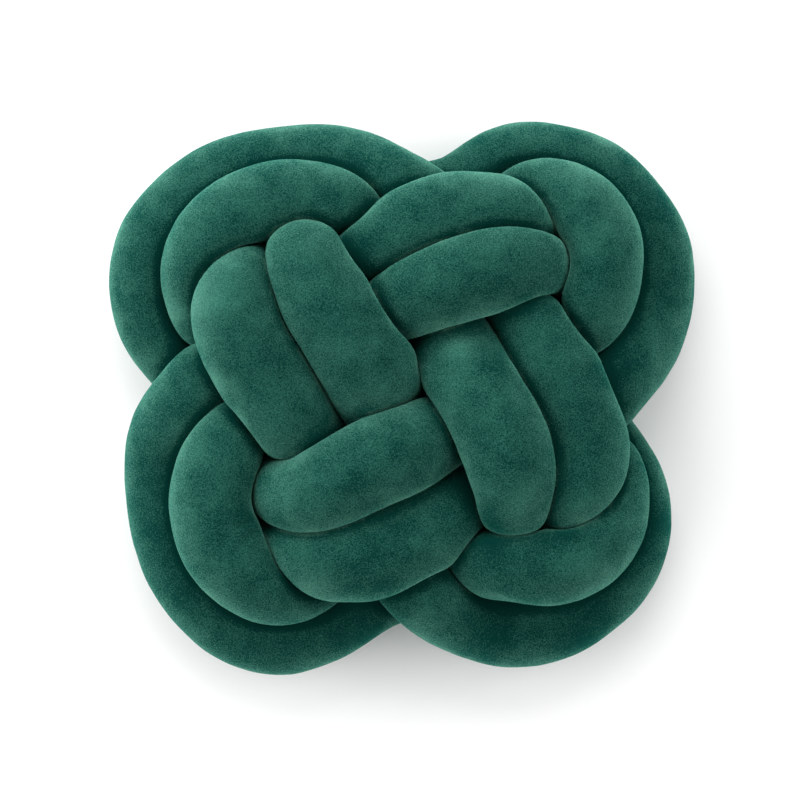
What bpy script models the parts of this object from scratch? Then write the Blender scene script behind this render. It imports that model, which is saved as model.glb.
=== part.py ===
"""Knot cushion: two stuffed velvet tubes, closed rings, laid side by side through one knot.

Each tube is a curve bevelled to a round tube. Its vertices are then drawn in where a neighbour
or the floor presses on it, so that the tubes lean on each other and lie flat underneath.
"""

import bpy
import numpy as np
from mathutils.bvhtree import BVHTree

MM = 0.001
NAMES = ("outer_tube", "inner_tube")

# Whether a run is out of sight: it may then be eased aside, and not only up and down.
SEEN = 0
HIDDEN = 1

# Each run: whether it is hidden, then stations of the centre line as (x, y, height, radius), in
# millimetres; the radius is the tube's own, where nothing presses on it.
OUTER_ROUTE = (
    ("left strap", SEEN, (
        (-54, -48, 44, 34), (-75, -24, 73, 37), (-94, 11, 88, 36), (-113, 43, 93, 34),
        (-117, 80, 85, 34))),
    ("under the top left lobe", HIDDEN, (
        (-109, 109, 49, 33), (-95, 124, 32, 33), (-66, 136, 26, 33), (-31, 136, 25, 33),
        (6, 135, 25, 33), (28, 141, 26, 33))),
    ("top right lobe", SEEN, (
        (45, 148, 28, 32), (72, 165, 30, 32), (97, 170, 31, 32), (134, 161, 31, 32),
        (161, 139, 31, 32), (179, 108, 31, 32), (181, 74, 31, 32), (170, 40, 42, 32),
        (146, 8, 58, 31))),
    ("under the right strap", HIDDEN, (
        (114, -30, 50, 33), (82, -59, 44, 33))),
    ("bottom strap", SEEN, (
        (44, -81, 60, 34), (13, -98, 76, 34), (-15, -110, 80, 34), (-44, -112, 79, 34),
        (-67, -113, 72, 34))),
    ("under the bottom left lobe", HIDDEN, (
        (-86, -112, 54, 33), (-116, -98, 32, 33), (-138, -67, 26, 33), (-142, -30, 25, 33),
        (-144, 3, 25, 33), (-151, 22, 26, 33))),
    ("top left lobe", SEEN, (
        (-162, 35, 28, 32), (-177, 57, 30, 32), (-182, 87, 31, 32), (-175, 116, 31, 32),
        (-154, 140, 31, 32), (-131, 156, 31, 32), (-100, 165, 31, 32), (-67, 168, 31, 32),
        (-36, 164, 42, 32), (4, 143, 58, 32))),
    ("under the top strap", HIDDEN, (
        (38, 118, 50, 33), (65, 90, 44, 33))),
    ("right strap", SEEN, (
        (91, 60, 62, 34), (107, 24, 78, 34), (123, -8, 81, 34), (129, -41, 80, 34),
        (123, -76, 76, 35))),
    ("under the bottom right lobe", HIDDEN, (
        (111, -98, 50, 33), (104, -115, 32, 33), (78, -132, 26, 33), (42, -134, 25, 33),
        (7, -126, 25, 33), (-14, -132, 26, 33))),
    ("bottom left lobe", SEEN, (
        (-32, -145, 28, 32), (-62, -163, 30, 32), (-93, -170, 31, 32), (-121, -161, 31, 32),
        (-143, -142, 31, 32), (-160, -115, 31, 32), (-169, -77, 31, 32), (-170, -40, 35, 32),
        (-163, -19, 46, 32), (-144, 5, 60, 32))),
    ("under the left strap", HIDDEN, (
        (-110, 35, 50, 33), (-74, 68, 44, 33))),
    ("top strap", SEEN, (
        (-43, 93, 54, 34), (-12, 111, 76, 34), (20, 125, 83, 34), (54, 128, 84, 34),
        (84, 124, 77, 34))),
    ("under the top right lobe", HIDDEN, (
        (106, 115, 56, 33), (134, 104, 32, 33), (148, 72, 26, 33), (142, 36, 25, 33),
        (129, 5, 25, 33), (129, -18, 26, 32))),
    ("bottom right lobe", SEEN, (
        (143, -37, 28, 32), (160, -62, 30, 32), (165, -89, 31, 32), (159, -115, 31, 32),
        (142, -138, 31, 32), (115, -157, 31, 32), (84, -165, 31, 32), (54, -159, 35, 32),
        (32, -148, 46, 32), (10, -129, 60, 32))),
    ("under the bottom strap", HIDDEN, (
        (-22, -88, 50, 33),)),
)

INNER_ROUTE = (
    ("left strap", SEEN, (
        (1, -30, 40, 34), (-11, -4, 61, 37), (-28, 28, 90, 38), (-46, 56, 98, 37),
        (-63, 82, 96, 37), (-71, 104, 84, 36))),
    ("under the top left lobe", HIDDEN, (
        (-62, 116, 52, 33), (-38, 106, 30, 33), (-5, 100, 22, 33), (35, 114, 25, 33),
        (61, 126, 32, 33))),
    ("top right lobe", SEEN, (
        (83, 142, 44, 32), (105, 143, 60, 32), (127, 132, 73, 32), (140, 110, 78, 32),
        (139, 84, 78, 32), (131, 61, 70, 32))),
    ("under the right strap", HIDDEN, (
        (114, 35, 46, 33), (89, 3, 39, 33), (64, -23, 42, 33))),
    ("bottom strap", SEEN, (
        (32, -23, 54, 34), (0, -36, 92, 34), (-32, -52, 101, 32), (-57, -66, 99, 32),
        (-69, -70, 88, 32))),
    ("under the bottom left lobe", HIDDEN, (
        (-95, -58, 53, 33), (-107, -35, 31, 33), (-110, -3, 25, 33), (-114, 25, 26, 33),
        (-122, 41, 32, 33))),
    ("top left lobe", SEEN, (
        (-134, 57, 44, 32), (-142, 82, 62, 32), (-139, 103, 74, 32), (-123, 124, 78, 32),
        (-97, 137, 76, 32), (-69, 139, 72, 32), (-33, 131, 62, 32))),
    ("under the top strap", HIDDEN, (
        (-10, 112, 42, 33), (10, 90, 38, 33), (26, 64, 45, 33))),
    ("right strap", SEEN, (
        (41, 32, 56, 34), (55, 4, 91, 35), (72, -28, 102, 34), (79, -54, 100, 32),
        (80, -73, 88, 29))),
    ("under the bottom right lobe", HIDDEN, (
        (72, -91, 55, 33), (51, -103, 31, 33), (20, -103, 25, 33), (-12, -104, 26, 33),
        (-36, -114, 33, 33))),
    ("bottom left lobe", SEEN, (
        (-56, -125, 42, 32), (-84, -133, 61, 32), (-110, -124, 74, 32), (-128, -104, 78, 32),
        (-135, -77, 78, 32), (-131, -53, 77, 32), (-119, -34, 72, 32))),
    ("under the left strap", HIDDEN, (
        (-100, -12, 46, 33), (-74, 13, 40, 33), (-45, 39, 42, 33))),
    ("top strap", SEEN, (
        (-22, 59, 52, 34), (3, 75, 80, 34), (34, 85, 99, 34), (66, 95, 99, 34),
        (84, 98, 88, 33))),
    ("under the top right lobe", HIDDEN, (
        (113, 89, 53, 33), (117, 65, 31, 33), (108, 31, 25, 33), (98, 0, 25, 33),
        (108, -26, 30, 33))),
    ("bottom right lobe", SEEN, (
        (142, -46, 38, 32), (148, -73, 56, 32), (144, -95, 70, 32), (126, -110, 78, 32),
        (102, -117, 78, 32), (76, -116, 75, 32))),
    ("under the bottom strap", HIDDEN, (
        (51, -106, 50, 33), (31, -74, 40, 33))),
)

STATION_STEP = 18.5  # between two rings of a tube
BEVEL_RESOLUTION = 6  # a ring of sixteen sides
SWEPT_RADIUS = 32.0
GUIDE_STEP = 3.0  # between the samples that tell a tube where its neighbours run
SEAM_GAP = 1.2  # between two tubes that lean on each other
ROUNDING = 8.0  # how softly a side turns from round to flat
OWN_REACH = 9.5  # nearer samples are the ring's own stretch of tube
THINNEST = 5.0

SEAM_CLEAR = 0.5
YIELD_REACH = 6.0
YIELD_TURNS = 12
FLOOR_SNAP = 0.8  # a vertex this near the floor rests on it

EASE_STEP = 9.0
EASE_TURNS = 80
EASE_SEEN = np.array([0.0, 0.0, 0.15])
EASE_HIDDEN = np.array([0.35, 0.35, 0.8])
EASE_HOLD = np.array([0.5, 0.5, 0.7])
OWN_STRETCH = 75.0
APART = 34.0
LOWEST = 22.0

VELVET = (0.022, 0.13, 0.098, 1.0)


def stations(route):
    """Rows of x, y, height, free radius and share hidden, in order round the ring."""
    return np.array([(*place, hidden) for _, hidden, places in route for place in places], float)


def closed_spline(rows, step):
    """Smooth closed curve through the rows, resampled at an even distance."""
    count = len(rows)
    ahead = np.roll(rows, -1, 0)
    span = np.sqrt(np.linalg.norm((ahead - rows)[:, :3], axis=1))
    before = np.roll(span, 1)
    slope = (ahead - rows) / span[:, None]
    system = np.zeros((count, count))
    for i in range(count):
        system[i, i - 1] += before[i]
        system[i, i] += 2 * (before[i] + span[i])
        system[i, (i + 1) % count] += span[i]
    bend = np.linalg.solve(system, 6 * (slope - np.roll(slope, 1, 0)))
    pieces = []
    for i in range(count):
        j = (i + 1) % count
        at = np.linspace(0, span[i], 40, endpoint=False)[:, None]
        left = span[i] - at
        pieces.append(
            (bend[i] * left**3 + bend[j] * at**3) / (6 * span[i])
            + (rows[i] / span[i] - bend[i] * span[i] / 6) * left
            + (rows[j] / span[i] - bend[j] * span[i] / 6) * at
        )
    fine = np.concatenate(pieces)
    return evenly(fine, step)


def evenly(fine, step):
    """A closed polyline's rows at an even distance near the step."""
    loop = np.vstack([fine, fine[:1]])
    along = np.concatenate([[0], np.cumsum(np.linalg.norm(np.diff(loop[:, :3], axis=0), axis=1))])
    count = round(along[-1] / step)
    at = np.arange(count) * along[-1] / count
    return np.stack([np.interp(at, along, column) for column in loop.T], 1)


def blurred(values, turns):
    """Values round a ring, each mixed with its two neighbours."""
    values = values.astype(float)
    for _ in range(turns):
        values = (np.roll(values, 1, 0) + np.roll(values, -1, 0) + 2 * values) / 4
    return values


def eased_apart(paths):
    """The paths with stretches that run too near each other eased apart, mostly up and down."""
    points = np.concatenate(paths)[:, :3]
    ring = np.concatenate([np.full(len(path), i) for i, path in enumerate(paths)])
    place = np.concatenate([np.arange(len(path)) for path in paths])
    length = np.array([len(path) for path in paths])[ring]
    along = np.abs(place[:, None] - place[None])
    along = np.minimum(along, length[:, None] - along) * EASE_STEP
    strangers = (ring[:, None] != ring[None]) | (along > OWN_STRETCH)
    hidden = np.concatenate([blurred(path[:, 4] > 0.5, 2) for path in paths])
    freedom = EASE_SEEN + (EASE_HIDDEN - EASE_SEEN) * hidden[:, None]
    moved = np.zeros_like(points)
    for _ in range(EASE_TURNS):
        across = (points + moved)[:, None] - (points + moved)[None]
        distance = np.linalg.norm(across, axis=2) + 1e-6
        lack = np.where(strangers, np.clip(APART - distance, 0, None), 0)
        push = (across * (lack / distance)[:, :, None]).sum(1)
        push /= np.maximum((lack > 0).sum(1), 1)[:, None]
        moved += push * freedom
        for i in range(len(paths)):
            moved[ring == i] = blurred(moved[ring == i], 1)
        moved *= EASE_HOLD + (1 - EASE_HOLD) * hidden[:, None]
        moved[:, 2] = np.maximum(points[:, 2] + moved[:, 2], LOWEST) - points[:, 2]
    points = points + moved
    return [np.c_[points[ring == i], path[:, 3]] for i, path in enumerate(paths)]


def vertices(mesh):
    """The mesh's vertices, in millimetres."""
    points = np.empty(len(mesh.vertices) * 3)
    mesh.vertices.foreach_get("co", points)
    return points.reshape(-1, 3) / MM


def place(mesh, points):
    """Moves the mesh's vertices to these places, in millimetres."""
    mesh.vertices.foreach_set("co", (points * MM).ravel())
    mesh.update()


def room(centres, ways, guides):
    """How far each way is free before it meets the mid plane to a neighbouring centre line."""
    limit = np.full(len(centres), 1000.0)
    for start in range(0, len(centres), 2000):
        part = slice(start, start + 2000)
        across = guides[None] - centres[part, None]
        square = (across**2).sum(-1)
        facing = 2 * (across * ways[part, None]).sum(-1)
        counts = (facing > 1e-6) & (square > OWN_REACH**2)
        reach = np.where(counts, square / np.where(counts, facing, 1), 1000.0)
        limit[part] = reach.min(1)
    return limit


def soft_min(first, second, width):
    """The smaller of two, with the corner between them rounded."""
    share = np.clip(0.5 + 0.5 * (second - first) / width, 0, 1)
    return second * (1 - share) + first * share - width * share * (1 - share)


def swept_ring(name, path):
    """A closed round tube along the path, as a mesh whose vertices run ring by ring."""
    curve = bpy.data.curves.new(name, "CURVE")
    curve.dimensions = "3D"
    curve.bevel_depth = SWEPT_RADIUS * MM
    curve.bevel_resolution = BEVEL_RESOLUTION
    spline = curve.splines.new("POLY")
    spline.points.add(len(path) - 1)
    spline.use_cyclic_u = True
    for point, station in zip(spline.points, path):
        point.co = (*(station[:3] * MM), 1)
    guide = bpy.data.objects.new(name + " path", curve)
    bpy.context.scene.collection.objects.link(guide)
    bpy.context.view_layer.update()
    evaluated = guide.evaluated_get(bpy.context.evaluated_depsgraph_get())
    mesh = bpy.data.meshes.new_from_object(evaluated)
    bpy.data.objects.remove(guide)
    bpy.data.curves.remove(curve)
    return mesh


def press(mesh, path, guides):
    """Moves each ring's vertices to its stuffed section: round, and flat where something presses."""
    count = len(path)
    points = vertices(mesh).reshape(count, -1, 3)
    centres = np.repeat(path[:, None, :3], points.shape[1], 1)
    ways = points - centres
    ways /= np.linalg.norm(ways, axis=2, keepdims=True)
    limit = room(centres.reshape(-1, 3), ways.reshape(-1, 3), guides).reshape(count, -1)
    limit = np.maximum(limit - SEAM_GAP / 2, THINNEST)
    radius = soft_min(np.repeat(path[:, 3:], limit.shape[1], 1), limit, ROUNDING)
    for _ in range(2):
        around = np.roll(radius, 1, 0) + np.roll(radius, -1, 0)
        around = around + np.roll(radius, 1, 1) + np.roll(radius, -1, 1) + 2 * radius
        radius = np.minimum(radius, around / 6 + 0.3)
    fall = np.clip(-ways[:, :, 2], 1e-6, None)
    radius = np.minimum(radius, centres[:, :, 2] / fall)
    place(mesh, (centres + ways * radius[:, :, None]).reshape(-1, 3))


def give_way(meshes, paths):
    """The vertices of each tube, drawn in until no facet reaches over a neighbour's."""
    points = []
    faces = []
    owners = []
    for i, (mesh, path) in enumerate(zip(meshes, paths)):
        own = vertices(mesh)
        start = sum(len(known) for known in points)
        faces += [[start + corner for corner in polygon.vertices] for polygon in mesh.polygons]
        sides = len(own) // len(path)
        owners.append(np.c_[np.full(len(own), i), np.arange(len(own)) // sides])
        points.append(own)
    sizes = [len(own) for own in points]
    points = np.concatenate(points)
    owners = np.concatenate(owners)
    centres = np.concatenate([path[:, :3] for path in paths])
    firsts = np.array([0, len(paths[0])])
    centres = centres[firsts[owners[:, 0]] + owners[:, 1]]
    rings = np.array([len(path) for path in paths])
    corners = np.array(faces)
    tests = [corners, np.c_[corners[:, :2], corners[:, :2]], np.c_[corners[:, 1:3], corners[:, 1:3]]]
    tests = np.concatenate([*tests, np.repeat(np.arange(len(points))[:, None], 4, 1)])
    first = owners[tests[:, 0]]
    for _ in range(YIELD_TURNS):
        tree = BVHTree.FromPolygons(points.tolist(), faces)
        spots = points[tests].mean(1)
        need = np.zeros(len(points))
        for spot, own, test in zip(spots, first, tests):
            for place, normal, face, _ in tree.find_nearest_range(spot, YIELD_REACH):
                other = owners[faces[face][0]]
                if other[0] == own[0]:
                    between = abs(other[1] - own[1])
                    if min(between, rings[own[0]] - between) * STATION_STEP < OWN_STRETCH:
                        continue
                lack = SEAM_CLEAR - np.dot(spot - place, normal)
                if lack > 0:
                    need[test] = np.maximum(need[test], lack)
        if not need.any():
            break
        inward = centres - points
        inward /= np.linalg.norm(inward, axis=1, keepdims=True)
        points += inward * need[:, None] * 0.5
    return np.split(points, np.cumsum(sizes)[:-1])


def settled(tubes):
    """The tubes' vertices with the lowest ones flat on the floor and the middle over the origin."""
    everything = np.concatenate(tubes)
    middle = (everything.min(0) + everything.max(0)) / 2
    rest = []
    for points in tubes:
        floor = points[:, 2] < FLOOR_SNAP
        points = points - (middle[0], middle[1], 0)
        points[floor, 2] = 0
        rest.append(points)
    return rest


def velvet(name):
    """Plain dyed cloth."""
    material = bpy.data.materials.new(name)
    material.use_nodes = True
    shader = material.node_tree.nodes["Principled BSDF"]
    shader.inputs["Base Color"].default_value = VELVET
    shader.inputs["Roughness"].default_value = 0.9
    material.diffuse_color = VELVET
    return material


def main():
    for obj in list(bpy.data.objects):
        bpy.data.objects.remove(obj)
    collection = bpy.data.collections.new("knot cushion")
    bpy.context.scene.collection.children.link(collection)
    paths = [closed_spline(stations(route), EASE_STEP) for route in (OUTER_ROUTE, INNER_ROUTE)]
    paths = eased_apart(paths)
    guides = np.concatenate([closed_spline(path, GUIDE_STEP) for path in paths])[:, :3]
    paths = [closed_spline(path, STATION_STEP) for path in paths]
    meshes = [swept_ring(name, path) for name, path in zip(NAMES, paths)]
    for mesh, path in zip(meshes, paths):
        press(mesh, path, guides)
    for mesh, points in zip(meshes, settled(give_way(meshes, paths))):
        place(mesh, points)
    for name, mesh in zip(NAMES, meshes):
        mesh.shade_smooth()
        mesh.materials.clear()
        mesh.materials.append(velvet(name + " velvet"))
        collection.objects.link(bpy.data.objects.new(name, mesh))


main()
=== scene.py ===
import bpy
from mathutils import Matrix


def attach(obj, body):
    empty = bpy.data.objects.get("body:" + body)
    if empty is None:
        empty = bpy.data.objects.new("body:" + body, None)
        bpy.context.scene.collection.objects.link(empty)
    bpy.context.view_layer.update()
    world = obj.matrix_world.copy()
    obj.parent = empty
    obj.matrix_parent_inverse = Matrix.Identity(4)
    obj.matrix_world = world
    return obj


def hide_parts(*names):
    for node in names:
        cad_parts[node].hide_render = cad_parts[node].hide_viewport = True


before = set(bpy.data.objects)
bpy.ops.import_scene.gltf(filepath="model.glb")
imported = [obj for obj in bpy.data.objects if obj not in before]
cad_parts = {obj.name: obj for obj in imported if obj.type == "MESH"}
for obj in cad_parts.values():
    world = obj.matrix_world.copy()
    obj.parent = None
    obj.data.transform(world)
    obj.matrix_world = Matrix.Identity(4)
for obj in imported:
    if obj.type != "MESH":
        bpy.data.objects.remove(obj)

"""Knot cushion in emerald velvet, lying on its back and seen from straight above.

Two stuffed velvet tubes, each a closed ring, lie side by side all through one flat knot: four
looped corners, and four pairs of straps that cross in a pinwheel on top. The tubes follow the
solids' centre lines, apart from some places that are moved by up to about a centimetre. Each is
swept as a bevelled curve, drawn in where a neighbour or the floor presses on it, and creased
where its velvet bunches.
"""

import logging
from dataclasses import dataclass, field
from enum import Enum

import bmesh
import bpy
import numpy as np
from mathutils import Matrix, Vector, noise
from mathutils.bvhtree import BVHTree

MM = 0.001
LOG = logging.getLogger("knot cushion")
WHITE = (1.0, 1.0, 1.0, 1.0)

# Keeps a distance or a slope off nought before something is divided by it.
TINY = 1e-6

# Columns of a route's rows, after x, y and height: the free radius, and the share out of sight.
RADIUS = 3
HIDDEN = 4

# The middle of a noise texture's range.
NOISE_MEAN = 0.5

Array = np.ndarray
Colour = tuple[float, float, float, float]


class Lie(Enum):
    """How a stretch of a tube lies in the knot."""

    OVER = "over the middle"
    ROUND = "round a corner"
    UNDER = "out of sight"


@dataclass(frozen=True)
class Run:
    """One stretch of a tube's route.

    Attributes:
        name: Where in the knot the stretch is.
        lie: How it lies there.
        places: Stations of the centre line as (x, y, height, radius), in millimetres; the
            radius is the tube's own, where nothing presses on it.
    """

    name: str
    lie: Lie
    places: tuple[tuple[float, float, float, float], ...]


OUTER_ROUTE = (
    Run("left strap", Lie.OVER, (
        (-57, -45, 44, 34), (-79, -22, 73, 38), (-95, 11, 89, 37), (-113, 43, 96, 34),
        (-117, 80, 88, 34))),
    Run("under the top left lobe", Lie.UNDER, (
        (-109, 109, 49, 33), (-95, 124, 32, 33), (-66, 136, 26, 33), (-31, 136, 25, 33),
        (6, 135, 25, 33), (28, 141, 26, 33))),
    Run("top right lobe", Lie.ROUND, (
        (45, 148, 28, 32), (72, 165, 30, 32), (97, 170, 31, 32), (134, 161, 31, 32),
        (161, 139, 31, 32), (179, 108, 31, 32), (181, 74, 31, 32), (170, 40, 42, 32),
        (146, 8, 58, 31))),
    Run("under the right strap", Lie.UNDER, (
        (114, -30, 50, 33), (82, -59, 44, 33))),
    Run("bottom strap", Lie.OVER, (
        (44, -81, 63, 34), (13, -98, 76, 34), (-15, -110, 83, 34), (-44, -112, 83, 34),
        (-67, -113, 76, 34))),
    Run("under the bottom left lobe", Lie.UNDER, (
        (-86, -112, 54, 33), (-116, -98, 32, 33), (-138, -67, 26, 33), (-142, -30, 25, 33),
        (-144, 3, 25, 33), (-151, 22, 26, 33))),
    Run("top left lobe", Lie.ROUND, (
        (-162, 35, 28, 32), (-177, 57, 30, 32), (-182, 87, 31, 32), (-175, 116, 31, 32),
        (-154, 140, 31, 32), (-131, 156, 31, 32), (-100, 165, 31, 32), (-67, 168, 31, 32),
        (-36, 164, 42, 32), (4, 143, 58, 32))),
    Run("under the top strap", Lie.UNDER, (
        (38, 118, 50, 33), (65, 90, 44, 33))),
    Run("right strap", Lie.OVER, (
        (95, 60, 69, 35), (107, 26, 82, 34), (123, -8, 81, 34), (129, -41, 80, 34),
        (123, -76, 76, 35))),
    Run("under the bottom right lobe", Lie.UNDER, (
        (111, -98, 50, 33), (104, -115, 32, 33), (78, -132, 26, 33), (42, -134, 25, 33),
        (7, -126, 25, 33), (-14, -132, 26, 33))),
    Run("bottom left lobe", Lie.ROUND, (
        (-32, -145, 28, 32), (-62, -163, 30, 32), (-93, -170, 31, 32), (-121, -161, 31, 32),
        (-143, -142, 31, 32), (-160, -115, 31, 32), (-169, -77, 31, 32), (-170, -40, 35, 32),
        (-163, -19, 46, 32), (-144, 5, 60, 32))),
    Run("under the left strap", Lie.UNDER, (
        (-110, 35, 50, 33), (-74, 68, 44, 33))),
    Run("top strap", Lie.OVER, (
        (-45, 97, 61, 36), (-12, 111, 79, 34), (20, 125, 86, 34), (54, 128, 84, 34),
        (84, 124, 77, 34))),
    Run("under the top right lobe", Lie.UNDER, (
        (106, 115, 56, 33), (134, 104, 32, 33), (148, 72, 26, 33), (142, 36, 25, 33),
        (129, 5, 25, 33), (129, -18, 26, 32))),
    Run("bottom right lobe", Lie.ROUND, (
        (143, -37, 28, 32), (160, -62, 30, 32), (165, -89, 31, 32), (159, -115, 31, 32),
        (142, -138, 31, 32), (115, -157, 31, 32), (84, -165, 31, 32), (54, -159, 35, 32),
        (32, -148, 46, 32), (10, -129, 60, 32))),
    Run("under the bottom strap", Lie.UNDER, (
        (-22, -88, 50, 33),)),
)

INNER_ROUTE = (
    Run("left strap", Lie.OVER, (
        (1, -30, 40, 34), (-11, -4, 61, 37), (-28, 28, 90, 38), (-46, 56, 98, 37),
        (-63, 82, 96, 37), (-71, 104, 84, 36))),
    Run("under the top left lobe", Lie.UNDER, (
        (-62, 116, 52, 33), (-38, 106, 30, 33), (-5, 100, 22, 33), (35, 114, 25, 33),
        (61, 126, 32, 33))),
    Run("top right lobe", Lie.ROUND, (
        (83, 142, 44, 32), (105, 143, 60, 32), (127, 132, 73, 32), (140, 110, 78, 32),
        (139, 84, 78, 32), (131, 61, 70, 32))),
    Run("under the right strap", Lie.UNDER, (
        (113, 35, 48, 33), (89, 3, 39, 33), (64, -23, 42, 33))),
    Run("bottom strap", Lie.OVER, (
        (32, -23, 54, 34), (0, -36, 92, 34), (-32, -52, 101, 32), (-57, -66, 98, 32),
        (-69, -70, 88, 32))),
    Run("under the bottom left lobe", Lie.UNDER, (
        (-95, -58, 53, 33), (-107, -35, 31, 33), (-110, -3, 25, 33), (-114, 25, 26, 33),
        (-124, 40, 34, 35))),
    Run("top left lobe", Lie.ROUND, (
        (-136, 56, 45, 34), (-142, 82, 62, 32), (-139, 103, 74, 32), (-123, 124, 78, 32),
        (-97, 137, 76, 32), (-69, 139, 72, 32), (-31, 131, 65, 33))),
    Run("under the top strap", Lie.UNDER, (
        (-7, 114, 48, 35), (10, 90, 38, 33), (26, 64, 45, 33))),
    Run("right strap", Lie.OVER, (
        (38, 34, 66, 36), (54, 4, 92, 36), (72, -28, 102, 34), (79, -54, 100, 32),
        (80, -73, 88, 29))),
    Run("under the bottom right lobe", Lie.UNDER, (
        (72, -91, 55, 33), (51, -103, 31, 33), (20, -103, 25, 33), (-12, -104, 26, 33),
        (-36, -114, 33, 33))),
    Run("bottom left lobe", Lie.ROUND, (
        (-56, -125, 42, 32), (-84, -133, 61, 32), (-110, -124, 74, 32), (-128, -104, 78, 32),
        (-135, -77, 78, 32), (-131, -53, 77, 32), (-122, -30, 71, 34))),
    Run("under the left strap", Lie.UNDER, (
        (-106, -7, 52, 35), (-74, 13, 40, 33), (-45, 39, 42, 33))),
    Run("top strap", Lie.OVER, (
        (-22, 61, 54, 37), (3, 75, 82, 36), (34, 85, 99, 34), (66, 95, 99, 34),
        (84, 98, 88, 33))),
    Run("under the top right lobe", Lie.UNDER, (
        (113, 89, 53, 33), (117, 65, 31, 33), (108, 31, 25, 33), (98, 0, 25, 33),
        (108, -26, 30, 33))),
    Run("bottom right lobe", Lie.ROUND, (
        (142, -46, 38, 32), (148, -73, 56, 32), (142, -93, 70, 32), (126, -110, 78, 32),
        (102, -117, 78, 32), (78, -114, 75, 32))),
    Run("under the bottom strap", Lie.UNDER, (
        (51, -106, 50, 33), (31, -74, 40, 33))),
)


def blurred(values: Array, turns: int, axis: int = 0) -> Array:
    """Mixes values round a ring with their neighbours.

    Args:
        values: One row for each place round the ring.
        turns: How many times each value is mixed with the two beside it.
        axis: The axis that goes round the ring.

    Returns:
        The smoother values.
    """
    values = values.astype(float)
    for _ in range(turns):
        values = (np.roll(values, 1, axis) + np.roll(values, -1, axis) + 2 * values) / 4
    return values


def evenly(fine: Array, step: float) -> Array:
    """Resamples a closed polyline.

    Args:
        fine: Rows whose first three columns are a place.
        step: The distance wanted between two rows.

    Returns:
        Rows at an even distance near the step.
    """
    loop = np.vstack([fine, fine[:1]])
    lengths = np.linalg.norm(np.diff(loop[:, :3], axis=0), axis=1)
    along = np.concatenate([[0], np.cumsum(lengths)])
    count = round(along[-1] / step)
    at = np.arange(count) * along[-1] / count
    return np.stack([np.interp(at, along, column) for column in loop.T], 1)


def closed_spline(rows: Array, step: float, fineness: int = 40) -> Array:
    """Draws a smooth closed curve through the rows.

    Args:
        rows: Stations whose first three columns are a place.
        step: The distance between the rows that come back.
        fineness: How many places are worked out from one row to the next, before resampling.

    Returns:
        Rows of the curve at an even distance.
    """
    count = len(rows)
    ahead = np.roll(rows, -1, 0)
    span = np.sqrt(np.linalg.norm((ahead - rows)[:, :3], axis=1))
    before = np.roll(span, 1)
    slope = (ahead - rows) / span[:, None]
    system = np.zeros((count, count))
    for i in range(count):
        system[i, i - 1] += before[i]
        system[i, i] += 2 * (before[i] + span[i])
        system[i, (i + 1) % count] += span[i]
    bend = np.linalg.solve(system, 6 * (slope - np.roll(slope, 1, 0)))
    arcs = []
    for i in range(count):
        j = (i + 1) % count
        at = np.linspace(0, span[i], fineness, endpoint=False)[:, None]
        left = span[i] - at
        arcs.append(
            (bend[i] * left**3 + bend[j] * at**3) / (6 * span[i])
            + (rows[i] / span[i] - bend[i] * span[i] / 6) * left
            + (rows[j] / span[i] - bend[j] * span[i] / 6) * at
        )
    return evenly(np.concatenate(arcs), step)


def soft_min(first: Array, second: Array, width: float) -> Array:
    """The smaller of two, with the corner between them rounded over the width."""
    share = np.clip(0.5 + 0.5 * (second - first) / width, 0, 1)
    return second * (1 - share) + first * share - width * share * (1 - share)


def facing_up(normals: Array) -> Array:
    """How far each point faces up: 1 within 60 degrees of straight up, and 0 from 90 on."""
    return np.clip(2 * normals[:, 2], 0, 1)


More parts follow.
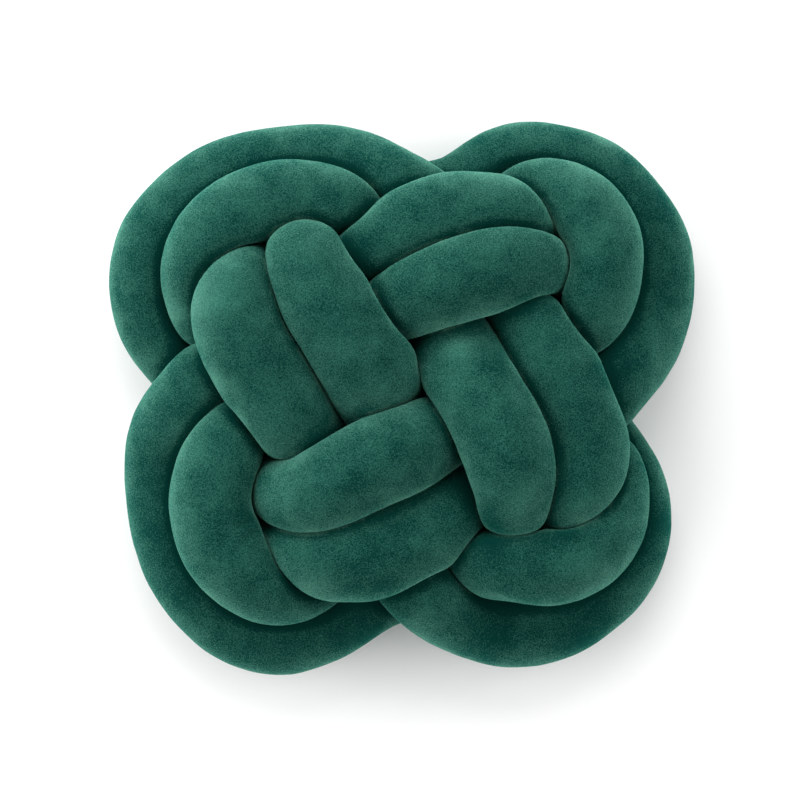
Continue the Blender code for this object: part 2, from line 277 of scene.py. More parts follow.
@dataclass
class KnotLines:
    """The two centre lines of the knot, eased apart where the tubes have too little room.

    Attributes:
        routes: The route of each tube.
        step: Distance between two rows while the lines are eased.
        turns: How many times the lines are eased.
        seen: How freely a run that shows may move along x, y and z.
        hidden: The same for a hidden run.
        hold: How much of its move a run that shows keeps at each turn.
        blend: How many times the change from a seen to a hidden run is blurred.
        own_stretch: Length along one tube within which it is not its own neighbour.
        apart: Distance between two centre lines below which they are pushed apart.
        lowest: Least height of a centre line.
    """

    routes: tuple[tuple[Run, ...], ...] = (OUTER_ROUTE, INNER_ROUTE)
    step: float = 9.0
    turns: int = 80
    seen: tuple[float, float, float] = (0.0, 0.0, 0.15)
    hidden: tuple[float, float, float] = (0.35, 0.35, 0.8)
    hold: tuple[float, float, float] = (0.5, 0.5, 0.7)
    blend: int = 2
    own_stretch: float = 75.0
    apart: float = 34.0
    lowest: float = 22.0

    def rows(self, route: tuple[Run, ...]) -> Array:
        """The route as x, y, height, free radius and share hidden, smooth and evenly spaced."""
        stations = [(*place, run.lie is Lie.UNDER) for run in route for place in run.places]
        return closed_spline(np.array(stations, float), self.step)

    def eased(self) -> list[Array]:
        """Eases stretches that run too near each other apart, mostly up and down.

        Returns:
            One array of rows for each tube.
        """
        paths = [self.rows(route) for route in self.routes]
        seen = np.array(self.seen)
        hidden = np.array(self.hidden)
        hold = np.array(self.hold)
        points = np.concatenate(paths)[:, :3]
        ring = np.concatenate([np.full(len(path), i) for i, path in enumerate(paths)])
        place = np.concatenate([np.arange(len(path)) for path in paths])
        length = np.array([len(path) for path in paths])[ring]
        along = np.abs(place[:, None] - place[None])
        along = np.minimum(along, length[:, None] - along) * self.step
        strangers = (ring[:, None] != ring[None]) | (along > self.own_stretch)
        unseen = [blurred(path[:, HIDDEN] > 0.5, self.blend) for path in paths]
        share = np.concatenate(unseen)[:, None]
        freedom = seen + (hidden - seen) * share
        moved = np.zeros_like(points)
        for _ in range(self.turns):
            across = (points + moved)[:, None] - (points + moved)[None]
            distance = np.linalg.norm(across, axis=2) + TINY
            lack = np.where(strangers, np.clip(self.apart - distance, 0, None), 0)
            push = (across * (lack / distance)[:, :, None]).sum(1)
            push /= np.maximum((lack > 0).sum(1), 1)[:, None]
            moved += push * freedom
            for i in range(len(paths)):
                moved[ring == i] = blurred(moved[ring == i], 1)
            moved *= hold + (1 - hold) * share
            moved[:, 2] = np.maximum(points[:, 2] + moved[:, 2], self.lowest) - points[:, 2]
        points = points + moved
        return [np.c_[points[ring == i], path[:, RADIUS]] for i, path in enumerate(paths)]


@dataclass(frozen=True)
class Crease:
    """A small fold in the velvet, as a shallow groove with a soft lip on each side.

    Attributes:
        middle: Where its middle lies, as x and y in millimetres.
        heading: Which way it runs, in degrees from the x axis.
        length: How far it runs to each side of the middle.
        width: Half the width of the groove; the lips stand at twice this from its middle.
        depth: How far the velvet is drawn in.
        lip: How high the lips stand, as a share of the depth.
    """

    middle: tuple[float, float]
    heading: float
    length: float
    width: float
    depth: float
    lip: float = 0.45

    def drawn_in(self, points: Array) -> Array:
        """Works out the crease, as it is seen from above.

        Args:
            points: Places on the velvet, in millimetres.

        Returns:
            How far each point is drawn in; less than nought on the lips.
        """
        turn = np.radians(self.heading)
        offset = points[:, :2] - self.middle
        along = offset @ (np.cos(turn), np.sin(turn))
        across = offset @ (-np.sin(turn), np.cos(turn))
        groove = np.exp(-((across / self.width) ** 2))
        lips = self.lip * np.exp(-(((np.abs(across) - 2 * self.width) / self.width) ** 2))
        return self.depth * (groove - lips) * np.exp(-((along / self.length) ** 2))


@dataclass(frozen=True)
class NapAndPaintedLight:
    """A place where the nap stands up, or lies down where its lift is below nought.

    Some such places are painted highlights and painted shade instead of nap.

    Attributes:
        middle: Where its middle lies, as x and y in millimetres.
        reach: How far from there it fades.
        lift: How far the pile stands up, or is painted lighter, more than around it, from -1 to 1.
    """

    middle: tuple[float, float]
    reach: float
    lift: float

    def raised_and_painted_light(self, points: Array) -> Array:
        """How far each point's nap, seen from above, stands up by this stroke, or is painted
        lighter.
        """
        away = ((points[:, :2] - self.middle) ** 2).sum(1)
        return self.lift * np.exp(-away / self.reach**2)


# Paler and darker places of the outer tube, strap by strap and then lobe by lobe. Some are nap
# that is plainly brushed. Others are painted light and shade, which only mend the shading under
# this studio's lights: those below nought on the outer rims are painted shade that keeps them
# from turning pale, and those on the edges of the left strap, on the top left lobe and at the
# left end of the top strap are painted light and shade that even it out.
OUTER_NAP_AND_PAINTED_LIGHT = (
    NapAndPaintedLight(middle=(-132, 69), reach=17, lift=0.50),
    NapAndPaintedLight(middle=(-118, 91), reach=13, lift=0.30),
    NapAndPaintedLight(middle=(-139, 38), reach=10, lift=0.30),
    NapAndPaintedLight(middle=(-134, 10), reach=12, lift=0.35),
    NapAndPaintedLight(middle=(-119, -15), reach=11, lift=0.30),
    NapAndPaintedLight(middle=(-25, 134), reach=11, lift=0.35),
    NapAndPaintedLight(middle=(-27, 107), reach=10, lift=-0.30),
    NapAndPaintedLight(middle=(-58, -135), reach=13, lift=0.30),
    NapAndPaintedLight(middle=(-90, -124), reach=10, lift=0.25),
    NapAndPaintedLight(middle=(136, -57), reach=13, lift=0.15),
    NapAndPaintedLight(middle=(125, -82), reach=12, lift=0.20),
    NapAndPaintedLight(middle=(73, 162), reach=9, lift=0.20),
    NapAndPaintedLight(middle=(-41, 179), reach=22, lift=-0.20),
    NapAndPaintedLight(middle=(0, 175), reach=20, lift=-0.25),
    NapAndPaintedLight(middle=(66, 192), reach=20, lift=-0.25),
    NapAndPaintedLight(middle=(115, 193), reach=20, lift=-0.15),
    NapAndPaintedLight(middle=(167, 175), reach=16, lift=-0.30),
    NapAndPaintedLight(middle=(187, 140), reach=30, lift=-0.30),
    NapAndPaintedLight(middle=(160, 22), reach=22, lift=-0.25),
    NapAndPaintedLight(middle=(192, -95), reach=26, lift=-0.35),
    NapAndPaintedLight(middle=(135, -172), reach=26, lift=-0.35),
    NapAndPaintedLight(middle=(55, -182), reach=24, lift=-0.35),
    NapAndPaintedLight(middle=(-22, -164), reach=22, lift=-0.35),
    NapAndPaintedLight(middle=(-160, -124), reach=28, lift=-0.25),
    NapAndPaintedLight(middle=(-125, -182), reach=25, lift=-0.20),
    NapAndPaintedLight(middle=(-196, -80), reach=22, lift=-0.15),
)

# The same on the inner tube: some nap, and painted light and shade.
INNER_NAP_AND_PAINTED_LIGHT = (
    NapAndPaintedLight(middle=(-44, 34), reach=14, lift=0.20),
    NapAndPaintedLight(middle=(-12, 10), reach=13, lift=0.15),
    NapAndPaintedLight(middle=(-68, 45), reach=11, lift=0.15),
    NapAndPaintedLight(middle=(23, 55), reach=10, lift=0.25),
    NapAndPaintedLight(middle=(41, 34), reach=14, lift=0.40),
    NapAndPaintedLight(middle=(48, 2), reach=13, lift=-0.15),
    NapAndPaintedLight(middle=(83, -72), reach=12, lift=0.35),
    NapAndPaintedLight(middle=(-8, -50), reach=13, lift=0.15),
    NapAndPaintedLight(middle=(-33, -61), reach=10, lift=-0.15),
    NapAndPaintedLight(middle=(-86, -75), reach=9, lift=0.20),
    NapAndPaintedLight(middle=(-118, 158), reach=16, lift=0.15),
    NapAndPaintedLight(middle=(129, 154), reach=14, lift=0.30),
    NapAndPaintedLight(middle=(147, 127), reach=10, lift=0.35),
    NapAndPaintedLight(middle=(170, 138), reach=10, lift=-0.30),
    NapAndPaintedLight(middle=(-165, 63), reach=13, lift=0.35),
    NapAndPaintedLight(middle=(-141, -18), reach=10, lift=0.20),
    NapAndPaintedLight(middle=(133, 112), reach=10, lift=0.25),
    NapAndPaintedLight(middle=(-153, -86), reach=17, lift=0.25),
    NapAndPaintedLight(middle=(-132, -135), reach=15, lift=0.15),
    NapAndPaintedLight(middle=(-150, -43), reach=11, lift=0.20),
    NapAndPaintedLight(middle=(133, -125), reach=15, lift=0.25),
    NapAndPaintedLight(middle=(-106, -86), reach=10, lift=-0.35),
    NapAndPaintedLight(middle=(62, -103), reach=20, lift=-0.50),
    NapAndPaintedLight(middle=(97, -96), reach=13, lift=-0.25),
    NapAndPaintedLight(middle=(118, -93), reach=9, lift=-0.35),
)

# A slight fold across the top of the left strap.
OUTER_CREASES = (Crease(middle=(-110, 97), heading=-10, length=8, width=1.3, depth=0.5),)

# Short folds that run out from under the strap ends, at the lower left and lower right lobes.
INNER_CREASES = (
    Crease(middle=(-112, -89), heading=22, length=8, width=1.9, depth=1.3),
    Crease(middle=(-107, -96), heading=52, length=8, width=1.9, depth=1.3),
    Crease(middle=(116, -101), heading=-78, length=6, width=1.9, depth=1.1),
    Crease(middle=(124, -99), heading=-62, length=6, width=1.9, depth=1.3),
    Crease(middle=(131, -94), heading=-45, length=6, width=1.9, depth=1.1),
)


@dataclass
class StuffedTube:
    """One velvet tube, stuffed firm and sewn to a closed ring.

    Attributes:
        node: The solid that it stands for, and its material slot.
        path: Rows of its centre line, as x, y, height and free radius.
        guides: Places along both centre lines, which tell where neighbours run.
        fill: How tightly it is stuffed, from 0 to 1.
        creases: The small folds on its face.
        nap: Where its nap stands up or lies down, and where light and shade are painted on it.
        ring_step: Distance between two rings of the first mesh.
        bevel_resolution: Sets the sides of a ring: twice this, and four more.
        seam_gap: Distance that the press leaves between two tubes that lean on each other.
        rounding: How softly a side turns from round to flat.
        own_reach: Nearer guides are the ring's own stretch of tube.
        open_reach: How far a way counts as free where no neighbour faces it.
        even_turns: How many times the pressed section is evened out.
        bulge: How far a side may then stand out past the mean of the sides around it.
        thinnest: Least radius.
        thickest: Greatest radius of any tube.
        unevenness: How far the stuffing lifts and sinks the velvet.
        broad_swell: The size of the broad lumps in the stuffing.
        small_swell: The size of the small lumps.
        small_share: How high the small lumps are against the broad ones.
        held_height: Height below which the floor holds the velvet more and more still.
        nap_and_painted_light_name: The mesh attribute that keeps how far the nap stands up, with
            painted light and shade.
    """

    node: str
    path: Array
    guides: Array
    fill: float = 0.85
    creases: tuple[Crease, ...] = ()
    nap: tuple[NapAndPaintedLight, ...] = ()
    ring_step: float = 5.0
    bevel_resolution: int = 17
    seam_gap: float = 0.5
    rounding: float = 3.5
    own_reach: float = 9.5
    open_reach: float = 1000.0
    even_turns: int = 5
    bulge: float = 0.05
    thinnest: float = 5.0
    thickest: float = 38.0
    unevenness: float = 0.7
    broad_swell: float = 34.0
    small_swell: float = 13.0
    small_share: float = 0.4
    held_height: float = 6.0
    nap_and_painted_light_name: str = "nap_and_painted_light"
    mesh: bpy.types.Mesh = field(init=False)

    def shape(self) -> None:
        """Makes the tube's first mesh, with its stuffed section."""
        self.path = closed_spline(self.path, self.ring_step)
        self.mesh = self.swept()
        self.press()

    def finish(self) -> bpy.types.Object:
        """Smooths and ruffles the tube.

        Returns:
            The finished piece, with its modifiers applied.
        """
        piece = bpy.data.objects.new(self.node + "_velvet", self.mesh)
        bpy.context.scene.collection.objects.link(piece)
        self.refine(piece)
        self.ruffle()
        self.mesh.shade_smooth()
        return piece

    def swept(self) -> bpy.types.Mesh:
        """Sweeps a round section along the path.

        Returns:
            A closed tube, whose vertices run ring by ring.
        """
        curve = bpy.data.curves.new(self.node + "_sweep", "CURVE")
        curve.dimensions = "3D"
        curve.bevel_depth = self.thickest * MM
        curve.bevel_resolution = self.bevel_resolution
        spline = curve.splines.new("POLY")
        spline.points.add(len(self.path) - 1)
        spline.use_cyclic_u = True
        for point, station in zip(spline.points, self.path):
            point.co = (*(station[:3] * MM), 1)
        guide = bpy.data.objects.new(self.node + "_sweep", curve)
        bpy.context.scene.collection.objects.link(guide)
        bpy.context.view_layer.update()
        evaluated = guide.evaluated_get(bpy.context.evaluated_depsgraph_get())
        mesh = bpy.data.meshes.new_from_object(evaluated)
        bpy.data.objects.remove(guide)
        bpy.data.curves.remove(curve)
        mesh.materials.clear()
        return mesh

    def vertices(self) -> Array:
        """Reads where the mesh's vertices are.

        Returns:
            One row for each vertex, in millimetres.
        """
        points = np.empty(len(self.mesh.vertices) * 3)
        self.mesh.vertices.foreach_get("co", points)
        return points.reshape(-1, 3) / MM

    def place(self, points: Array) -> None:
        """Moves the mesh's vertices to these places, in millimetres."""
        self.mesh.vertices.foreach_set("co", (points * MM).ravel())
        self.mesh.update()

    def room(self, centre: Array, ways: Array) -> Array:
        """How far each way is free before it meets the mid plane to a neighbouring centre line.

        Args:
            centre: The ring's place on the centre line.
            ways: Unit vectors from it towards the ring's vertices.

        Returns:
            One distance for each way.
        """
        across = self.guides - centre
        square = (across**2).sum(1)
        near = (square > self.own_reach**2) & (square < (2 * self.thickest) ** 2)
        facing = 2 * ways @ across[near].T
        meets = facing > TINY
        reach = np.where(meets, square[near] / np.where(meets, facing, 1), self.open_reach)
        return reach.min(1)

    def press(self) -> None:
        """Gives each ring its stuffed section: round, and flat where something presses on it."""
        count = len(self.path)
        points = self.vertices().reshape(count, -1, 3)
        centres = self.path[:, None, :3]
        ways = points - centres
        ways /= np.linalg.norm(ways, axis=2, keepdims=True)
        limit = np.array([self.room(c[0], w) for c, w in zip(centres, ways)])
        limit = np.maximum(limit - self.seam_gap / 2, self.thinnest)
        free = np.repeat(self.path[:, RADIUS:], limit.shape[1], 1)
        radius = soft_min(free, limit, self.rounding)
        for _ in range(self.even_turns):
            around = (blurred(radius, 1) + blurred(radius, 1, 1)) / 2
            radius = np.minimum(radius, around + self.bulge)
        fall = np.clip(-ways[:, :, 2], TINY, None)
        radius = np.minimum(radius, centres[:, :, 2] / fall)
        self.place((centres + ways * radius[:, :, None]).reshape(-1, 3))

    def refine(self, piece: bpy.types.Object) -> None:
        """Subdivides the mesh once, smoothly, with the modifier applied.

        Args:
            piece: The object that shows the mesh.
        """
        smoother = piece.modifiers.new("smoother", "SUBSURF")
        smoother.levels = 1
        smoother.render_levels = 1
        bpy.context.view_layer.update()
        evaluated = piece.evaluated_get(bpy.context.evaluated_depsgraph_get())
        coarse = self.mesh
        self.mesh = bpy.data.meshes.new_from_object(evaluated)
        self.mesh.name = piece.name
        piece.modifiers.clear()
        piece.data = self.mesh
        bpy.data.meshes.remove(coarse)

    def ruffle(self) -> None:
        """Lifts and sinks the velvet over uneven stuffing, draws in its creases, marks its nap.

        The nap's marks also hold painted light and shade.
        """
        points = self.vertices()
        normals = np.empty(len(points) * 3)
        self.mesh.vertices.foreach_get("normal", normals)
        normals = normals.reshape(-1, 3)
        swell = [
            noise.noise(Vector(point) / self.broad_swell)
            + self.small_share * noise.noise(Vector(point) / self.small_swell)
            for point in points
        ]
        move = self.unevenness * np.array(swell)
        upper = facing_up(normals)
        for crease in self.creases:
            move -= crease.drawn_in(points) * upper
        move *= np.clip(points[:, 2] / self.held_height, 0, 1)
        self.place(points + normals * move[:, None])
        # Nap that stands up or lies down, and painted light and shade, from the listed places.
        nap_and_painted_light = sum(place.raised_and_painted_light(points) for place in self.nap) * upper
        attribute = self.mesh.attributes.new(self.nap_and_painted_light_name, "FLOAT", "POINT")
        attribute.data.foreach_set("value", nap_and_painted_light)


@dataclass(frozen=True)
class PaintedCleftShade:
    """Tells how deep each place of the velvet lies in a cleft between two stretches of tube.

    The velvet is painted darker there, as painted shade.

    Attributes:
        name: The mesh attribute that keeps the answer, from 0 in the open to 1 shut in.
        ways: How many directions are tried, spread evenly all round.
        reach: How far off another stretch still closes a place in, in millimetres.
        grazing: A way is tried only if more than this share of it leads off the velvet.
    """

    name: str = "cleft"
    ways: int = 44
    reach: float = 65.0
    grazing: float = 0.08

    def directions(self) -> list[Vector]:
        """Spreads the ways evenly over a ball, along a spiral from top to bottom.

        Returns:
            Unit vectors.
        """
        turns = np.arange(self.ways)
        rise = 1 - (2 * turns + 1) / self.ways
        flat = np.sqrt(1 - rise**2)
        angle = turns * np.pi * (3 - np.sqrt(5))
        return [Vector(way) for way in np.c_[flat * np.cos(angle), flat * np.sin(angle), rise]]

    def shut_in(self, tree: BVHTree, spot: Vector, normal: Vector, ways: list[Vector]) -> float:
        """How much of what an upper spot faces is closed by velvet nearby; less on steep sides.

        Args:
            tree: The faces of both tubes.
            spot: The place, in metres.
            normal: Which way the velvet faces there.
            ways: The directions to try.

        Returns:
            From 0 in the open to 1 shut in.
        """
        open_ways = [(way, way.dot(normal)) for way in ways if way.dot(normal) > self.grazing]
        start = spot + normal * MM
        reach = self.reach * MM
        closed = 0.0
        for way, weight in open_ways:
            distance = tree.ray_cast(start, way, reach)[3]
            if distance is not None:
                closed += weight * (1 - distance / reach)
        return max(normal.z, 0.0) * closed / sum(weight for _, weight in open_ways)

    def mark(self, meshes: list[bpy.types.Mesh]) -> None:
        """Writes how far each vertex is shut in to the attribute of its mesh.

        Args:
            meshes: All the meshes that can close each other in.
        """
        spots, sides = [], []
        for mesh in meshes:
            first = len(spots)
            spots += [vertex.co.copy() for vertex in mesh.vertices]
            sides += [[first + i for i in polygon.vertices] for polygon in mesh.polygons]
        tree = BVHTree.FromPolygons(spots, sides)
        ways = self.directions()
        for mesh in meshes:
            shares = [self.shut_in(tree, v.co, v.normal, ways) for v in mesh.vertices]
            attribute = mesh.attributes.new(self.name, "FLOAT", "POINT")
            attribute.data.foreach_set("value", shares)
            LOG.info("clefts: mean %.3f, most %.3f", np.mean(shares), np.max(shares))


class Value:
    """A shader value that Python's arithmetic turns into Math nodes."""

    def __init__(self, graph: "Graph", socket: bpy.types.NodeSocket) -> None:
        """Wraps the socket, whose nodes belong to the graph."""
        self.graph = graph
        self.socket = socket

    def math(self, operation: str, first: "Value | float", second: "Value | float") -> "Value":
        """Adds a Math node.

        Args:
            operation: What it does with the two values.
            first: A value or a number.
            second: Another.

        Returns:
            The node's result.
        """
        node = self.graph.add("ShaderNodeMath", {"operation": operation}, {0: first, 1: second})
        return Value(self.graph, node.outputs[0])

    def __add__(self, other: "Value | float") -> "Value":
        """This value and another, summed."""
        return self.math("ADD", self, other)

    def __radd__(self, other: "Value | float") -> "Value":
        """Another value and this one, summed."""
        return self.math("ADD", other, self)

    def __sub__(self, other: "Value | float") -> "Value":
        """This value less another."""
        return self.math("SUBTRACT", self, other)

    def __rsub__(self, other: "Value | float") -> "Value":
        """Another value less this one."""
        return self.math("SUBTRACT", other, self)

    def __mul__(self, other: "Value | float") -> "Value":
        """This value times another."""
        return self.math("MULTIPLY", self, other)

    def __rmul__(self, other: "Value | float") -> "Value":
        """Another value times this one."""
        return self.math("MULTIPLY", other, self)


@dataclass(frozen=True)
class Mottle:
    """One size of light and dark places in the pile.

    Attributes:
        scale: Features in a metre.
        detail: How many finer octaves it has.
        warp: How far it is distorted.
        offset: How far the pattern is moved, which sets it apart from the others.
        roughness: How strong its finer octaves are, from 0 to 1.
    """

    scale: float
    detail: float
    warp: float = 0.0
    offset: float = 0.0
    roughness: float = 0.55


@dataclass
class Graph:
    """The node graph of one material."""

    material: bpy.types.Material

    def add(
        self, kind: str, settings: dict[str, object], inputs: dict[str | int, object]
    ) -> bpy.types.Node:
        """Adds one node.

        Args:
            kind: The node's type.
            settings: Its own settings, set first.
            inputs: A value, a colour or a link for each socket, by name or number.

        Returns:
            The node.
        """
        tree = self.material.node_tree
        node = tree.nodes.new(kind)
        for name, setting in settings.items():
            setattr(node, name, setting)
        for name, value in inputs.items():
            socket = node.inputs[name]
            if isinstance(value, Value):
                tree.links.new(value.socket, socket)
            elif isinstance(value, bpy.types.NodeSocket):
                tree.links.new(value, socket)
            else:
                socket.default_value = value
        return node

    def attribute(self, name: str) -> Value:
        """The mesh attribute with this name."""
        node = self.add("ShaderNodeAttribute", {"attribute_name": name}, {})
        return Value(self, node.outputs["Fac"])

    def cloud(self, mottle: Mottle) -> Value:
        """Adds noise in the object's own space.

        Args:
            mottle: Its size and character.

        Returns:
            The noise, from 0 to 1.
        """
        here = self.add("ShaderNodeTexCoord", {}, {})
        moved = self.add(
            "ShaderNodeMapping",
            {},
            {"Vector": here.outputs["Object"], "Location": (mottle.offset,) * 3},
        )
        texture = self.add(
            "ShaderNodeTexNoise",
            {},
            {
                "Vector": moved.outputs[0],
                "Scale": mottle.scale,
                "Detail": mottle.detail,
                "Roughness": mottle.roughness,
                "Distortion": mottle.warp,
            },
        )
        return Value(self, texture.outputs["Fac"])


@dataclass(frozen=True)
class Pile:
    """How the pile looks where its nap lies one way; the piles also carry painted light and shade.

    Attributes:
        colour: Colour of the cloth between the fibres.
        glow: Colour of the fibres' tips, seen from the side.
        roughness: How dull the cloth is, from 0 to 1.
        gloss: How much it mirrors, from 0 to 1.
        sheen: How thick the fibres' tips stand, from 0 to 1.
        sheen_spread: How far round to the face their glow reaches, from 0 to 1.
    """

    colour: Colour
    glow: Colour
    roughness: float = 0.95
    gloss: float = 0.03
    sheen: float = 1.0
    sheen_spread: float = 0.6

    def shader(self, graph: Graph, normal: bpy.types.NodeSocket) -> bpy.types.Node:
        """Adds the shader of this pile.

        Args:
            graph: The velvet's node graph.
            normal: The way the pile faces, with its relief.

        Returns:
            The shader's node.
        """
        return graph.add(
            "ShaderNodeBsdfPrincipled",
            {},
            {
                "Base Color": self.colour,
                "Roughness": self.roughness,
                "Specular IOR Level": self.gloss,
                "Sheen Weight": self.sheen,
                "Sheen Roughness": self.sheen_spread,
                "Sheen Tint": self.glow,
                "Normal": normal,
            },
        )


@dataclass(frozen=True)
class EmeraldVelvet:
    """Brushed short-pile velvet: paler where its nap stands up, darker where it lies away.

    Shade is painted into its clefts, and light and shade at some listed places.

    Attributes:
        standing_and_painted_light: The pile where it stands up to the light, also used for painted
            light.
        lying_and_painted_shade: The pile where it lies away from it, also used for painted shade,
            most of all in clefts.
        upright: How far the pile stands up on the plain face, from 0 to 1.
        contrast: How sharply one passes into the other.
        depth: How much darker the shade painted in a cleft makes it than the open face.
        cleft_edge: How far a place is shut in where the painted shade starts.
        cleft_floor: How far it is shut in where the painted shade is darkest.
        patches: Broad places where the nap lies one way.
        strokes: Smaller ones, as a hand leaves them.
        tufts: The tips of the pile.
        flecks: Little rises and hollows of the pile, which shape its relief alone.
        patch_share: How much of the nap's shade the patches make.
        stroke_share: How much of it the strokes make.
        tuft_share: How much of it the tufts make.
        tuft_relief: How much of the relief the tufts make.
        fleck_relief: How much of it the flecks make.
        relief: How strongly the relief turns the surface, from 0 to 1.
        relief_height: How high it stands, in metres.
    """

    standing_and_painted_light: Pile = Pile(colour=(0.008, 0.085, 0.062, 1.0), glow=(0.35, 0.82, 0.61, 1.0))
    lying_and_painted_shade: Pile = Pile(colour=(0.0001, 0.017, 0.014, 1.0), glow=(0.01, 0.18, 0.14, 1.0))
    upright: float = 0.31
    contrast: float = 3.0
    depth: float = 0.5
    cleft_edge: float = 0.14
    cleft_floor: float = 0.46
    patches: Mottle = Mottle(scale=20, detail=2, warp=0.3)
    strokes: Mottle = Mottle(scale=60, detail=3, warp=0.3, offset=3.0)
    tufts: Mottle = Mottle(scale=1050, detail=1)
    flecks: Mottle = Mottle(scale=250, detail=3)
    patch_share: float = 0.24
    stroke_share: float = 0.21
    tuft_share: float = 0.55
    tuft_relief: float = 0.7
    fleck_relief: float = 0.3
    relief: float = 0.6
    relief_height: float = 0.0006

    def dress(self, piece: bpy.types.Object, cleft: str, nap_and_painted_light: str) -> None:
        """Gives the piece its velvet.

        Args:
            piece: The tube that wears it.
            cleft: The mesh attribute that tells where the velvet is shut in, and so painted
                darker.
            nap_and_painted_light: The mesh attribute of how far its nap stands up, with painted
                light and shade.
        """
        material = bpy.data.materials.new(piece.name)
        material.use_nodes = True
        material.node_tree.nodes.clear()
        graph = Graph(material)
        tufts = graph.cloud(self.tufts)
        normal = self.pile_relief(graph, tufts)
        raised_and_painted_light = self.raised_and_painted_light(graph, tufts, graph.attribute(cleft), graph.attribute(nap_and_painted_light))
        factor = graph.add("ShaderNodeClamp", {}, {"Value": raised_and_painted_light})
        lying_and_painted_shade = self.lying_and_painted_shade.shader(graph, normal)
        standing_and_painted_light = self.standing_and_painted_light.shader(graph, normal)
        # The mix of the two piles also paints light and shade.
        mixed = graph.add(
            "ShaderNodeMixShader",
            {},
            {0: factor.outputs[0], 1: lying_and_painted_shade.outputs[0], 2: standing_and_painted_light.outputs[0]},
        )
        graph.add("ShaderNodeOutputMaterial", {}, {"Surface": mixed.outputs[0]})
        piece.data.materials.clear()
        piece.data.materials.append(material)

    def raised_and_painted_light(self, graph: Graph, tufts: Value, cleft: Value, nap_and_painted_light: Value) -> Value:
        """Works out how far the pile stands up, and adds the painted light and shade.

        Args:
            graph: The velvet's node graph.
            tufts: The tips of the pile.
            cleft: How far the velvet is shut in, which paints it darker.
            nap_and_painted_light: How far its nap stands up, with painted light and shade.

        Returns:
            0 or less where it lies or is painted dark, and 1 or more where it stands or is painted
            light.
        """
        patches = graph.cloud(self.patches)
        strokes = graph.cloud(self.strokes)
        nap = self.patch_share * patches + self.stroke_share * strokes + self.tuft_share * tufts
        # Painted shade: velvet shut in a cleft is turned towards the darker pile.
        shut = graph.add(
            "ShaderNodeMapRange",
            {"interpolation_type": "SMOOTHSTEP"},
            {"Value": cleft, "From Min": self.cleft_edge, "From Max": self.cleft_floor},
        )
        open_face = self.contrast * (nap - NOISE_MEAN) + self.upright + nap_and_painted_light
        return open_face - self.depth * Value(graph, shut.outputs[0])

    def pile_relief(self, graph: Graph, tufts: Value) -> bpy.types.NodeSocket:
        """Adds the fine relief of the pile.

        Args:
            graph: The velvet's node graph.
            tufts: The tips of the pile.

        Returns:
            The way the pile faces.
        """
        flecks = graph.cloud(self.flecks)
        bump = graph.add(
            "ShaderNodeBump",
            {},
            {
                "Strength": self.relief,
                "Distance": self.relief_height,
                "Height": self.tuft_relief * tufts + self.fleck_relief * flecks,
            },
        )
        return bump.outputs["Normal"]


@dataclass
class KnotCushion:
    """The whole cushion: both tubes, in place, dressed and declared.

    Attributes:
        lines: The knot's centre lines.
        velvet: The finish that both tubes wear.
        painted_cleft_shade: Marks where the velvet is shut in, for the shade that is painted
            there.
        guide_step: Distance between the places that tell a tube where its neighbours run.
    """

    lines: KnotLines = field(default_factory=KnotLines)
    velvet: EmeraldVelvet = EmeraldVelvet()
    painted_cleft_shade: PaintedCleftShade = PaintedCleftShade()
    guide_step: float = 3.0

    def build(self) -> list[bpy.types.Object]:
        """Makes both tubes and moves them so that their middle is over the origin.

        Returns:
            The two pieces.
        """
        paths = self.lines.eased()
        guides = np.concatenate([closed_spline(path, self.guide_step) for path in paths])[:, :3]
        tubes = (
            StuffedTube("outer_tube", paths[0], guides, creases=OUTER_CREASES, nap=OUTER_NAP_AND_PAINTED_LIGHT),
            StuffedTube("inner_tube", paths[1], guides, creases=INNER_CREASES, nap=INNER_NAP_AND_PAINTED_LIGHT),
        )
        for tube in tubes:
            tube.shape()
        # Marks how far the velvet is shut in, where shade is painted on it.
        self.painted_cleft_shade.mark([tube.mesh for tube in tubes])
        pieces = []
        for tube in tubes:
            piece = tube.finish()
            self.velvet.dress(piece, self.painted_cleft_shade.name, tube.nap_and_painted_light_name)
            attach(piece, "root")
            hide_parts(tube.node)
            pieces.append(piece)
            LOG.info("%s: %d faces", piece.name, len(piece.data.polygons))
        self.centre(tubes)
        return pieces

    def centre(self, tubes: tuple[StuffedTube, ...]) -> None:
        """Moves the tubes' vertices so that the middle of their box is over the origin.

        Args:
            tubes: All the tubes of the cushion.
        """
        everything = [tube.vertices() for tube in tubes]
        low = np.min([points.min(0) for points in everything], 0)
        high = np.max([points.max(0) for points in everything], 0)
        middle = (low + high) / 2 * (1, 1, 0)
        LOG.info("middle before centring: %.2f, %.2f mm", middle[0], middle[1])
        for tube, points in zip(tubes, everything):
            tube.place(points - middle)


@dataclass(frozen=True)
class Softbox:
    """A square soft light, turned to the cushion.

    Attributes:
        name: What the light is called.
        bearing: Which side it stands on, in degrees from the x axis.
        rise: How steeply it is seen from the cushion, in degrees.
        power: Its power, in watts.
        side: The length of its side, in metres.
        distance: How far it stands from the cushion, in metres.
    """

    name: str
    bearing: float
    rise: float
    power: float
    side: float = 1.3
    distance: float = 1.9

    def hang(self) -> None:
        """Hangs the light in its place."""
        light = bpy.data.lights.new(self.name, "AREA")
        light.size = self.side
        light.energy = self.power
        lamp = bpy.data.objects.new(self.name, light)
        turn, lift = np.radians((self.bearing, self.rise))
        way = Vector((np.cos(turn) * np.cos(lift), np.sin(turn) * np.cos(lift), np.sin(lift)))
        facing = way.to_track_quat("Z", "Y").to_matrix().to_4x4()
        lamp.matrix_world = Matrix.Translation(self.distance * way) @ facing
        bpy.context.scene.collection.objects.link(lamp)


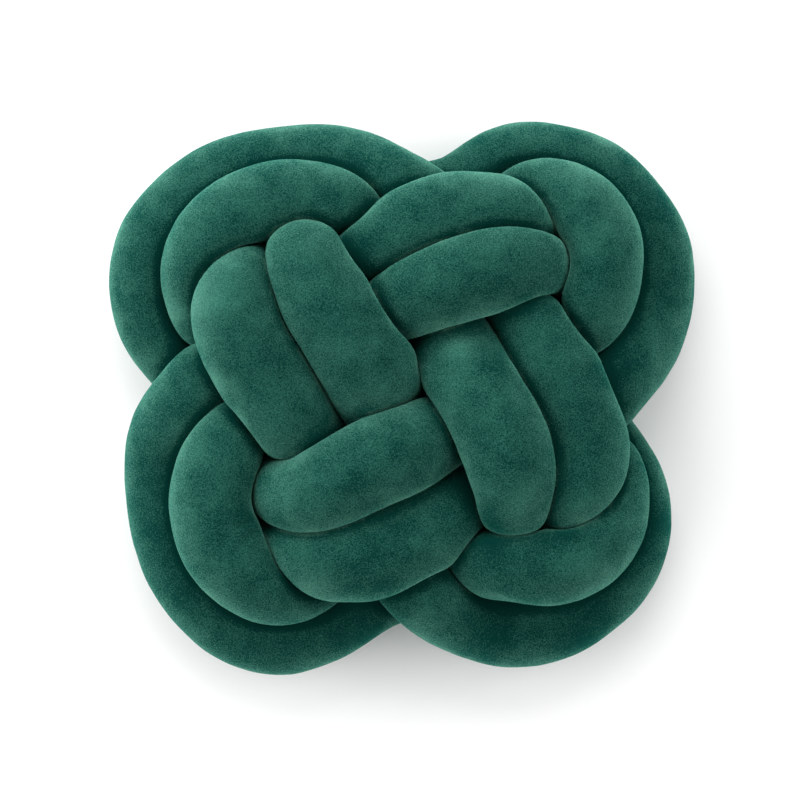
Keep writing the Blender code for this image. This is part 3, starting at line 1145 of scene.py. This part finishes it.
@dataclass(frozen=True)
class Studio:
    """A pale floor, soft lights and a camera straight above.

    Attributes:
        softboxes: The lights all round, strongest from the upper left.
        ambience: Strength of the white light from everywhere.
        camera_height: Height of the lens over what the cushion lies on, in metres.
        lens: Focal length, in millimetres, on a sensor 36 mm wide.
        aim: Where the camera looks straight down, in metres.
        sight: How far the camera sees, in metres.
        floor_reach: How far the floor reaches to each side of the middle, in metres.
        floor_drop: How far it lies under the cushion, in metres.
        floor_roughness: How dull it is, from 0 to 1.
    """

    softboxes: tuple[Softbox, ...] = (
        Softbox("window", bearing=135, rise=18, power=23.0),
        Softbox("upper wall", bearing=90, rise=40, power=21.0),
        Softbox("left wall", bearing=180, rise=28, power=21.0),
        Softbox("lower left wall", bearing=225, rise=40, power=12.5),
        Softbox("right wall", bearing=0, rise=40, power=13.0),
        Softbox("upper right wall", bearing=45, rise=40, power=8.0),
        Softbox("lower right wall", bearing=315, rise=40, power=3.0),
    )
    ambience: float = 0.15
    camera_height: float = 2.5
    lens: float = 152.2
    aim: tuple[float, float] = (-0.0013, -0.0013)
    sight: float = 20.0
    floor_reach: float = 3.0
    floor_drop: float = 0.0003
    floor_roughness: float = 0.9

    def build(self) -> None:
        """Lays the floor, hangs the lights and sets the camera."""
        self.floor()
        for softbox in self.softboxes:
            softbox.hang()
        self.surroundings()
        self.camera()

    def surroundings(self) -> None:
        """Fills the studio with faint white light, and shows colours as they are."""
        world = bpy.data.worlds.new("studio")
        world.use_nodes = True
        background = world.node_tree.nodes["Background"]
        background.inputs["Color"].default_value = WHITE
        background.inputs["Strength"].default_value = self.ambience
        bpy.context.scene.world = world
        bpy.context.scene.view_settings.view_transform = "Standard"

    def camera(self) -> None:
        """Hangs the camera over the cushion, where it looks straight down."""
        lens = bpy.data.cameras.new("camera")
        lens.lens = self.lens
        lens.clip_end = self.sight
        camera = bpy.data.objects.new("camera", lens)
        camera.location = (*self.aim, self.camera_height)
        bpy.context.scene.collection.objects.link(camera)
        bpy.context.scene.camera = camera

    def floor(self) -> None:
        """Lays a wide pale floor just under the cushion."""
        sheet = bmesh.new()
        bmesh.ops.create_grid(sheet, x_segments=1, y_segments=1, size=self.floor_reach)
        bmesh.ops.translate(sheet, verts=sheet.verts, vec=(0, 0, -self.floor_drop))
        mesh = bpy.data.meshes.new("floor")
        sheet.to_mesh(mesh)
        sheet.free()
        floor = bpy.data.objects.new("floor", mesh)
        bpy.context.scene.collection.objects.link(floor)
        material = bpy.data.materials.new("floor")
        material.use_nodes = True
        shader = material.node_tree.nodes["Principled BSDF"]
        shader.inputs["Base Color"].default_value = WHITE
        shader.inputs["Roughness"].default_value = self.floor_roughness
        mesh.materials.append(material)


def main() -> None:
    """Builds the cushion and its studio."""
    logging.basicConfig(level=logging.INFO, format="%(name)s: %(message)s")
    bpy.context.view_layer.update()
    pieces = KnotCushion().build()
    Studio().build()
    LOG.info("pieces: %s", ", ".join(piece.name for piece in pieces))


if __name__ == "__main__":
    main()
